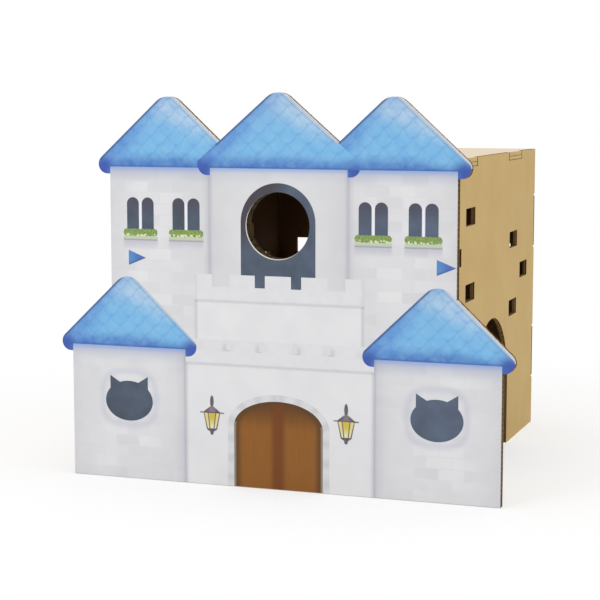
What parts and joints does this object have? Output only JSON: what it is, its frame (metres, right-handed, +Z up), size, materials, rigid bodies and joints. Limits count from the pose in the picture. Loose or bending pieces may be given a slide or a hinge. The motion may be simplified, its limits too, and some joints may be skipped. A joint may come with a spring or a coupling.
{
  "type": "cardboard cat house",
  "caption": "Corrugated cardboard cat house: a tabbed box with arched side entrances and small windows behind a flat printed castle front with a round lookout hole.",
  "frame": {"origin": "on the floor, under the middle of the whole house", "axes": "+Z up, +Y from the castle front to the back, +X to the right seen from the front"},
  "size_m": [0.713, 0.6602, 0.591],
  "materials": {
    "kraft_board": "matt, with flutes at the cut edges",
    "white_paper": "matt print",
    "roof_blue": "matt print",
    "slate_ink": "matt print",
    "trough_ink": "matt print",
    "leaf_ink": "matt print",
    "pennant_blue": "matt print",
    "pale_stone_ink": "matt print",
    "door_brown": "matt print",
    "door_dark": "matt print",
    "stone_ink": "matt print",
    "lantern_dark": "matt print",
    "pane_yellow": "matt print"
  },
  "bodies": {
    "root": {"castle_front": "kraft_board", "front_wall": "kraft_board", "back_wall": "kraft_board", "left_wall": "kraft_board", "right_wall": "kraft_board", "top_panel": "kraft_board", "upper_floor": "kraft_board", "floor_panel": "kraft_board", "printed_sheet": "white_paper", "roof_print": "roof_blue", "window_print": "slate_ink", "trough_print": "trough_ink", "leaf_print": "leaf_ink", "pennant_print": "pennant_blue", "frame_print": "slate_ink", "upper_parapet_print": "pale_stone_ink", "lower_parapet_print": "pale_stone_ink", "cat_window_print": "slate_ink", "door_print": "door_brown", "door_band_print": "door_dark", "surround_print": "stone_ink", "lantern_print": "lantern_dark", "pane_print": "pane_yellow"}
  },
  "joints": []
}
